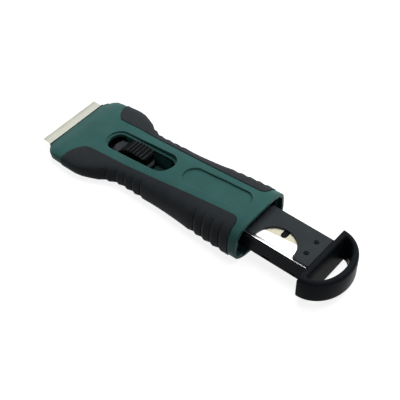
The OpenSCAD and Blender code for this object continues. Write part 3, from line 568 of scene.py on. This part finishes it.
def cutGrooves(form, side, spec):
    for groove in grooves:
        for offset in spec["cuts"]:
            everything = form.verts[:] + form.edges[:] + form.faces[:]
            bmesh.ops.bisect_plane(form, geom=everything, dist=planeDistance,
                                   plane_co=((groove + offset) * mm, 0, 0), plane_no=(1, 0, 0))
    form.normal_update()
    least, span = spec["facing"]
    moves = {}
    for vert in form.verts:
        outward = ease((vert.normal.y * side - least) / span)
        if outward:
            x = vert.co.x / mm
            near = min(abs(x - groove) for groove in grooves)
            cut = spec["depth"] * max(1 - near / spec["halfWidth"], 0)
            rise = spec["proud"][side] * ribHeight(x, spec)
            moves[vert] = vert.normal * mm * outward * (rise - cut)
    for vert, move in moves.items():
        vert.co += Vector((0, move.y, move.z))


for node, name, side in gripSpec["sides"]:
    mesh, form = mergedMesh(node)
    cutGrooves(form, side, gripSpec)
    squareShoulders(form, bodySpec, shoulderSpec)
    moveGripFront(form, bodySpec, gripFrontSpec)
    widenMouth(form, mouthSpec)
    form.to_mesh(mesh)
    piece = newPiece(name, mesh, "gripRubber")
    softenEdges(piece, gripSpec["soft"])
    handOver(piece, "body", "grip", node)


# the pull ring: a D with rounded edges, a little wider than the frame's, whose hole narrows downwards
ringSpec = dict(wider=0.7, back=3.0, loop=3.6, topRound=1.9, lowRound=3.2, holeRound=1.1, draft=1.8,
                backRound=0.4, holeLevels=(0, 0.33, 0.66), flatSteps=14, arcSteps=72, roundSteps=6, soft=0.6)


def dOutline(x, far, half, spec):
    points = [(x, half * (2 * j / spec["flatSteps"] - 1)) for j in range(spec["flatSteps"])]
    for j in range(spec["arcSteps"]):
        angle = math.radians(90 - 180 * j / spec["arcSteps"])
        points.append((x + (far - x) * math.cos(angle), half * math.sin(angle)))
    return points


def quarter(radius, steps, rising):
    # a quarter round as pairs: how far in from the wall, and how far from the face
    angles = [math.pi / 2 * j / steps for j in range(steps + 1)]
    turns = angles if rising else angles[::-1]
    return [(radius * (1 - math.sin(a)), radius * (1 - math.cos(a))) for a in turns]


def makeRing(spec, corners):
    (start, _, low), (far, half, high) = corners
    half += spec["wider"]
    back, loop, steps = start + spec["back"], spec["loop"], spec["roundSteps"]
    form = bmesh.new()

    outer = []
    for inset, rise in quarter(spec["lowRound"], steps, True):
        outer.append((low + rise, inset))
    for inset, drop in quarter(spec["topRound"], steps, False):
        outer.append((high - drop, inset))
    outerRings = []
    for z, inset in outer:
        outline = dOutline(start + min(inset, spec["backRound"]), far - inset, half - inset, spec)
        outerRings.append(ringOf(form, outline, z))

    hole = [(low + (high - low - spec["holeRound"]) * level, 0) for level in spec["holeLevels"]]
    for inset, drop in quarter(spec["holeRound"], steps, False):
        hole.append((high - drop, inset))
    holeRings = []
    for z, inset in hole:
        shrink = spec["draft"] * (high - z) / (high - low) - inset
        outline = dOutline(back + shrink, far - loop - shrink, half - loop - shrink, spec)
        holeRings.append(ringOf(form, outline, z))

    for rings in (outerRings, holeRings):
        for lower, upper in zip(rings, rings[1:]):
            wallBetween(form, lower, upper)
    wallBetween(form, outerRings[0], holeRings[0])
    wallBetween(form, outerRings[-1], holeRings[-1])
    return meshOf(form, "pullLoop")


piece = newPiece("pullLoop", makeRing(ringSpec, boxOf("pull_ring")), "drawerBlack")
softenEdges(piece, ringSpec["soft"])
handOver(piece, "drawer", "drawer", "pull_ring")


# the spare blades: ground edge at the near side, and a narrow notch in the back
spareSpec = dict(count=5, bevel=0.4, notchAt=78.2, notchHalf=1.75, notchEnd=-3.0, notchSteps=10)


def makeSpareBlade(spec, low, high):
    form = bmesh.new()
    middle = (low.z + high.z) / 2
    at, half, ground = spec["notchAt"], spec["notchHalf"], low.y + spec["bevel"]
    outline = [(low.x, low.y), (high.x, low.y), (high.x, ground), (high.x, high.y), (at + half, high.y)]
    for j in range(spec["notchSteps"] + 1):
        angle = math.radians(-180 * j / spec["notchSteps"])
        outline.append((at + half * math.cos(angle), spec["notchEnd"] + half * (1 + math.sin(angle))))
    outline += [(at - half, high.y), (low.x, high.y), (low.x, ground)]

    rings = []
    for z in (low.z, high.z):
        heights = [middle, middle] + [z] * (len(outline) - 2)  # both faces meet in the cutting edge
        rings.append([form.verts.new(Vector((u, v, w)) * mm) for (u, v), w in zip(outline, heights)])
    wallBetween(form, *rings)
    for ring in rings:
        form.faces.new((ring[0], ring[1], ring[2], ring[-1]))
        form.faces.new(ring[2:])
    bmesh.ops.remove_doubles(form, verts=form.verts, dist=meetDistance)
    bmesh.ops.dissolve_degenerate(form, edges=form.edges, dist=meetDistance / 2)
    bmesh.ops.triangulate(form, faces=form.faces)
    return meshOf(form, "spareBlade")


for number in range(1, spareSpec["count"] + 1):
    node = f"spare_blade_{number}"
    piece = newPiece(f"spareBlade{number}", makeSpareBlade(spareSpec, *boxOf(node)), "spareBladeSteel")
    handOver(piece, "drawer", "blade", node)


# the spring plate below them, folded up along the near rail: its path across, as places in Y and Z
springSpec = dict(thick=0.2, soft=0.9, path=[(9.6, 14.62), (-9.5, 14.62), (-9.56, 14.68), (-9.57, 15.9),
                                             (-9.68, 16.02), (-11.34, 16.0)])


def makeSpring(spec, start, end):
    form = bmesh.new()
    path = [Vector((0, y, z)) for y, z in spec["path"]]
    last = len(path) - 1
    lower, upper = [], []
    for j, point in enumerate(path):
        way = (path[min(j + 1, last)] - path[max(j - 1, 0)]).normalized()
        lower.append(point)
        upper.append(point + Vector((0, way.z, -way.y)) * spec["thick"])
    outline = lower + upper[::-1]
    sections = []
    for x in (start, end):
        sections.append([form.verts.new(Vector((x, point.y, point.z)) * mm) for point in outline])
    wallBetween(form, *sections)
    for section in sections:
        for j in range(last):
            form.faces.new((section[j], section[j + 1], section[-2 - j], section[-1 - j]))
    return meshOf(form, "springPlate")


springLow, springHigh = boxOf("blade_spring")
piece = newPiece("springPlate", makeSpring(springSpec, springLow.x, springHigh.x), "brightSteel")
softenEdges(piece, springSpec["soft"])
handOver(piece, "drawer", "bright", "blade_spring")


# the drawer's key, which fills the notches of the stack; its black is partly painted shade, darkening the
# notch where the stack's shade falls
keySpec = dict(at=78.0, half=1.45, start=-2.6, end=9.4, high=16.08, steps=8, soft=0.5)


def makeKey(spec, low):
    form = bmesh.new()
    at, half = spec["at"], spec["half"]
    outline = [(at + half, spec["end"]), (at - half, spec["end"])]
    for j in range(spec["steps"] + 1):
        angle = math.radians(180 + 180 * j / spec["steps"])
        outline.append((at + half * math.cos(angle), spec["start"] + half * (1 + math.sin(angle))))
    addPrism(form, outline, low, spec["high"])
    return meshOf(form, "stackKeyAndShade")


piece = newPiece("stackKeyAndShade", makeKey(keySpec, boxOf("spare_blade_1")[0].z), "holderBlack")
softenEdges(piece, keySpec["soft"])
handOver(piece, "drawer", "drawer")


# the cover plate, with a round thumb window at its near side and a thin tongue over the stack
coverSpec = dict(windowAt=(78.12, -9.36), windowRadius=11.04, windowSteps=40, fillet=1.4, filletSteps=6,
                 bevel=0.22, bevelSegments=3, bevelAngle=0.8, tongueLow=(57.9, -9.7, 16.19),
                 tongueHigh=(63.2, 9.7, 16.35), soft=0.6)


def coverOutline(spec, low, high):
    (x, y), radius, fillet = spec["windowAt"], spec["windowRadius"], spec["fillet"]
    # the fillets' centres, one fillet inside the near edge, and the angle at which they meet the window
    level = low.y + fillet
    across = math.sqrt((radius + fillet) ** 2 - (level - y) ** 2)
    meet = math.degrees(math.asin((level - y) / (radius + fillet)))
    ends, steps = spec["filletSteps"], spec["windowSteps"]
    arcs = [(x - across, level, fillet, 270, 360 - meet, ends, range(ends + 1)),
            (x, y, radius, 180 - meet, meet, steps, range(1, steps)),
            (x + across, level, fillet, 180 + meet, 270, ends, range(ends + 1))]
    points = [(high.x, low.y), (high.x, high.y), (low.x, high.y), (low.x, low.y)]
    for centreX, centreY, size, first, last, count, turns in arcs:
        for j in turns:
            angle = math.radians(first + (last - first) * j / count)
            points.append((centreX + size * math.cos(angle), centreY + size * math.sin(angle)))
    return points


def makeCover(spec, low, high):
    form = bmesh.new()
    addPrism(form, coverOutline(spec, low, high), low.z, high.z)
    tongueLow, tongueHigh = Vector(spec["tongueLow"]), Vector(spec["tongueHigh"])
    place = Matrix.LocRotScale((tongueLow + tongueHigh) / 2 * mm, None, (tongueHigh - tongueLow) * mm)
    bmesh.ops.create_cube(form, size=1, matrix=place)
    return meshOf(form, "coverPlate")


piece = newPiece("coverPlate", makeCover(coverSpec, *boxOf("drawer_cover")), "coverGrey")
bevel = piece.modifiers.new("rounding", "BEVEL")
bevel.width = coverSpec["bevel"] * mm
bevel.segments = coverSpec["bevelSegments"]
bevel.limit_method = "ANGLE"
bevel.angle_limit = coverSpec["bevelAngle"]
bakeModifiers(piece)
softenEdges(piece, coverSpec["soft"])
handOver(piece, "drawer", "cover", "drawer_cover")


# screws, rivets and pins: one tree is meant to join a head, a dome and a shank at each of its points, and to
# cut a cross recess; its union loses some of them at these sizes, a fault
fastenerForm = dict(sides=40, domeRings=16, domeShare=0.97, soft=0.6, inputs={
    "places": "Geometry", "headRadius": "Float", "headHeight": "Float", "domeHeight": "Float",
    "shankRadius": "Float", "shankLength": "Float", "recessLength": "Float", "recessWidth": "Float",
    "recessDepth": "Float", "turn": "Float", "recessed": "Bool", "finish": "Material"})


def makeFastenerTree(form):
    tree, size, end, keys = startTree("fasteners", form["inputs"])

    def rod(radius, depth, middle):
        bar = addNode(tree, "GeometryNodeMeshCylinder", Vertices=form["sides"], Radius=radius, Depth=depth)
        placed = addNode(tree, "GeometryNodeTransform", Geometry=bar.outputs["Mesh"],
                         Translation=vectorNode(tree, z=middle))
        return placed.outputs[0]

    # the shank starts at half the head's height, so that the two overlap
    headHeight = size["headHeight"]
    overlap = mathNode(tree, "MULTIPLY", headHeight, 0.5)
    shankDepth = mathNode(tree, "ADD", size["shankLength"], overlap)
    shankMiddle = mathNode(tree, "SUBTRACT", mathNode(tree, "MULTIPLY", shankDepth, -0.5), overlap)
    head = rod(size["headRadius"], headHeight, mathNode(tree, "MULTIPLY", headHeight, -0.5))
    shank = rod(size["shankRadius"], shankDepth, shankMiddle)
    ball = addNode(tree, "GeometryNodeMeshUVSphere", Segments=form["sides"], Rings=form["domeRings"],
                   Radius=1)
    domeRadius = mathNode(tree, "MULTIPLY", size["headRadius"], form["domeShare"])
    dome = addNode(tree, "GeometryNodeTransform", Geometry=ball.outputs["Mesh"],
                   Scale=vectorNode(tree, domeRadius, domeRadius, size["domeHeight"])).outputs[0]
    solid = tree.nodes.new("GeometryNodeMeshBoolean")
    solid.operation = "UNION"
    for geometry in (head, shank, dome):
        feed(tree, solid.inputs["Mesh 2"], geometry)

    cross = tree.nodes.new("GeometryNodeMeshBoolean")
    cross.operation = "DIFFERENCE"
    feed(tree, cross.inputs["Mesh 1"], solid.outputs[0])
    barHeight = mathNode(tree, "MULTIPLY", size["recessDepth"], 2)
    barSize = vectorNode(tree, size["recessLength"], size["recessWidth"], barHeight)
    for turn in (0, math.pi / 2):
        bar = addNode(tree, "GeometryNodeMeshCube", Size=barSize)
        placed = addNode(tree, "GeometryNodeTransform", Geometry=bar.outputs["Mesh"],
                         Translation=vectorNode(tree, z=size["domeHeight"]), Rotation=(0, 0, turn))
        feed(tree, cross.inputs["Mesh 2"], placed.outputs[0])
    choice = tree.nodes.new("GeometryNodeSwitch")
    choice.input_type = "GEOMETRY"
    feed(tree, choice.inputs["Switch"], size["recessed"])
    feed(tree, choice.inputs["False"], solid.outputs[0])
    feed(tree, choice.inputs["True"], cross.outputs[0])

    scatter = addNode(tree, "GeometryNodeInstanceOnPoints", Points=size["places"], Instance=choice.outputs[0],
                      Rotation=vectorNode(tree, x=size["turn"]))
    endTree(tree, scatter.outputs[0], size["finish"], end)
    return tree, keys


fastenerTree, fastenerKeys = makeFastenerTree(fastenerForm)
fastenerSpecs = {
    "shellScrews": dict(
        node="shell_screws", finish="brightSteel", body="body", slot="bright", turn=math.pi, recessed=True,
        places=[(7, 10.4, 0.42), (7, -10.4, 0.42), (-24, 12.4, 0.42), (-24, -12.4, 0.42)],
        sizes=dict(headRadius=2.3, headHeight=1.18, domeHeight=0.12, shankRadius=1.25, shankLength=8.0,
                   recessLength=2.5, recessWidth=0.55, recessDepth=0.75)),
    "sliderScrew": dict(
        node="slider_screw", finish="brightSteel", body="slider", slot="bright", turn=math.pi, recessed=True,
        places=[(-16.1, 0, 2.75)],
        sizes=dict(headRadius=2.3, headHeight=0.5, domeHeight=0.05, shankRadius=1.25, shankLength=4.2,
                   recessLength=2.4, recessWidth=0.5, recessDepth=0.35)),
    "jawRivets": dict(
        node="jaw_rivets", finish="brightSteel", body="slider", slot="bright", turn=0.0, recessed=False,
        places=[(-48.75, 11.12, 5.3), (-48.75, -11.12, 5.3)],
        sizes=dict(headRadius=1.7, headHeight=0.18, domeHeight=0.18, shankRadius=1.0, shankLength=2.45)),
    "coverPins": dict(
        node="ring_pins", finish="drawerBlack", body="drawer", slot="drawer", turn=0.0, recessed=False,
        places=[(93.26, 4.3, 17.42), (93.26, -4.3, 17.42)],
        sizes=dict(headRadius=1.3, headHeight=0.2, domeHeight=0.38, shankRadius=0.9, shankLength=0.9)),
}
for name, spec in fastenerSpecs.items():
    mesh = bpy.data.meshes.new(name)
    mesh.from_pydata([Vector(place) * mm for place in spec["places"]], [], [])
    piece = newPiece(name, mesh)
    values = {label: size * mm for label, size in spec["sizes"].items()}
    values.update(turn=spec["turn"], recessed=spec["recessed"], finish=finishes[spec["finish"]])
    useTree(piece, fastenerTree, fastenerKeys, values)
    bakeModifiers(piece)
    softenEdges(piece, fastenerForm["soft"])
    handOver(piece, spec["body"], spec["slot"], spec["node"])


# fine cross ribs on the slider's foot, and pale bars on the cap's rib crests as painted highlights: one tree
# makes a row of bars that sags towards its two ends
ribForm = dict(sides=12, soft=0.9, inputs={
    "count": "Int", "pitch": "Float", "width": "Float", "radius": "Float", "sag": "Float", "first": "Vector",
    "finish": "Material"})


def makeRibTree(form):
    tree, size, end, keys = startTree("sliderRibs", form["inputs"])
    row = tree.nodes.new("GeometryNodeMeshLine")
    feed(tree, row.inputs["Count"], size["count"])
    feed(tree, row.inputs["Start Location"], size["first"])
    feed(tree, row.inputs["Offset"], vectorNode(tree, x=size["pitch"]))
    middle = mathNode(tree, "MULTIPLY", mathNode(tree, "SUBTRACT", size["count"], 1), 0.5)
    index = tree.nodes.new("GeometryNodeInputIndex").outputs[0]
    offCentre = mathNode(tree, "DIVIDE", mathNode(tree, "SUBTRACT", index, middle), middle)
    squared = mathNode(tree, "MULTIPLY", offCentre, offCentre)
    drop = mathNode(tree, "MULTIPLY", squared, mathNode(tree, "MULTIPLY", size["sag"], -1))
    bend = addNode(tree, "GeometryNodeSetPosition", Geometry=row.outputs[0], Offset=vectorNode(tree, z=drop))
    rib = addNode(tree, "GeometryNodeMeshCylinder", Vertices=form["sides"], Radius=size["radius"],
                  Depth=size["width"])
    across = addNode(tree, "GeometryNodeTransform", Geometry=rib.outputs["Mesh"],
                     Rotation=(math.pi / 2, 0, 0))
    laid = addNode(tree, "GeometryNodeInstanceOnPoints", Points=bend.outputs[0], Instance=across.outputs[0])
    endTree(tree, laid.outputs[0], size["finish"], end)
    return tree, keys


ribTree, ribKeys = makeRibTree(ribForm)
ribSpecs = {
    "footRibs": dict(count=5, finish="sliderBlack", first=(-32.3, 0, 8.16),
                     sizes=dict(pitch=0.95, width=8.2, radius=0.26, sag=0.0)),
    # pale grey bars on the black cap: painted highlights along the crests of its ribs
    "capRibHighlights": dict(count=6, finish="coverGrey", first=(-21.55, 0, 14.56),
                    sizes=dict(pitch=2.167, width=8.7, radius=0.24, sag=0.6)),
}
for name, spec in ribSpecs.items():
    piece = newPiece(name, bpy.data.meshes.new(name))
    values = {label: size * mm for label, size in spec["sizes"].items()}
    values.update(count=spec["count"], first=[value * mm for value in spec["first"]],
                  finish=finishes[spec["finish"]])
    useTree(piece, ribTree, ribKeys, values)
    bakeModifiers(piece)
    softenEdges(piece, ribForm["soft"])
    handOver(piece, "slider", "slider")


# the camera stands where the photographer stood, about half a metre from the tool
cameraSpec = dict(azimuth=39.5, elevation=47.31, roll=-0.1, lens=89.467, sensor=36, clip=(0.01, 20),
                  place=(0.24575, -0.26837, 0.38039))


def makeCamera(spec):
    a, e = math.radians(spec["azimuth"]), math.radians(spec["elevation"])
    back = Vector((math.sin(a) * math.cos(e), -math.cos(a) * math.cos(e), math.sin(e)))
    right = Vector((math.cos(a), math.sin(a), 0))
    up = back.cross(right)
    camera = bpy.data.objects.new("camera", bpy.data.cameras.new("camera"))
    camera.data.lens = spec["lens"]
    camera.data.sensor_width = spec["sensor"]
    camera.data.clip_start, camera.data.clip_end = spec["clip"]
    turn = Matrix((right, up, back)).transposed() @ Matrix.Rotation(math.radians(spec["roll"]), 3, "Z")
    camera.matrix_world = Matrix.Translation(spec["place"]) @ turn.to_4x4()
    scene.collection.objects.link(camera)
    scene.camera = camera


# floor and sky are white where they are seen, and dim where they only light the tool
studioSpec = dict(
    floorSize=6.0, floorLevel=-0.00005, floorSeen=(0.7, 0.7, 0.7), floorFelt=(0.16, 0.16, 0.16),
    floorGlow=0.85, white=(1, 1, 1), skySeen=1.0, skyFelt=0.07, skyTint=(0.95, 0.97, 1),
    lamps=[dict(name="topLight", place=(0.0, 0.35, 1.0), aim=(0.02, 0, 0), size=0.9, power=6.0),
           dict(name="backLight", place=(0.3, 0.95, 0.5), aim=(0.02, 0, 0), size=0.5, power=1.3),
           dict(name="sideLight", place=(0.7, -0.75, 0.5), aim=(0.03, 0, 0), size=0.35, power=0.22)])


def mixSeen(tree, felt, seen, output):
    # 1 for the camera's rays, straight, mirrored or through glass
    path = tree.nodes.new("ShaderNodeLightPath").outputs
    mirrored = mathNode(tree, "MAXIMUM", path["Is Glossy Ray"], path["Is Transmission Ray"])
    mix = tree.nodes.new("ShaderNodeMixShader")
    feed(tree, mix.inputs[0], mathNode(tree, "MAXIMUM", path["Is Camera Ray"], mirrored))
    feed(tree, mix.inputs[1], felt.outputs[0])
    feed(tree, mix.inputs[2], seen.outputs[0])
    feed(tree, output.inputs["Surface"], mix.outputs[0])


def makeFloor(spec):
    bpy.ops.mesh.primitive_plane_add(size=spec["floorSize"], location=(0, 0, spec["floorLevel"]))
    floor = bpy.context.object
    floor.name = "floor"
    material = bpy.data.materials.new("studioFloor")
    material.use_nodes = True
    tree = material.node_tree
    tree.nodes.clear()
    felt = addNode(tree, "ShaderNodeBsdfDiffuse", Color=(*spec["floorFelt"], 1))
    paper = addNode(tree, "ShaderNodeBsdfDiffuse", Color=(*spec["floorSeen"], 1))
    glow = addNode(tree, "ShaderNodeEmission", Color=(*spec["white"], 1), Strength=spec["floorGlow"])
    bright = tree.nodes.new("ShaderNodeAddShader")
    feed(tree, bright.inputs[0], paper.outputs[0])
    feed(tree, bright.inputs[1], glow.outputs[0])
    mixSeen(tree, felt, bright, tree.nodes.new("ShaderNodeOutputMaterial"))
    floor.data.materials.append(material)


def makeSky(spec):
    world = bpy.data.worlds.new("studio")
    world.use_nodes = True
    scene.world = world
    tree = world.node_tree
    tree.nodes.clear()
    dim = addNode(tree, "ShaderNodeBackground", Color=(*spec["skyTint"], 1), Strength=spec["skyFelt"])
    white = addNode(tree, "ShaderNodeBackground", Color=(*spec["white"], 1), Strength=spec["skySeen"])
    mixSeen(tree, dim, white, tree.nodes.new("ShaderNodeOutputWorld"))


def makeLamps(spec):
    for lamp in spec["lamps"]:
        light = bpy.data.lights.new(lamp["name"], "AREA")
        light.size = lamp["size"]
        light.energy = lamp["power"]
        holder = bpy.data.objects.new(lamp["name"], light)
        holder.location = lamp["place"]
        aim = Vector(lamp["aim"]) - Vector(lamp["place"])
        holder.rotation_euler = aim.to_track_quat("-Z", "Y").to_euler()
        scene.collection.objects.link(holder)


makeCamera(cameraSpec)
makeFloor(studioSpec)
makeSky(studioSpec)
makeLamps(studioSpec)
scene.view_settings.view_transform = "Standard"
print("camera, floor and light set")
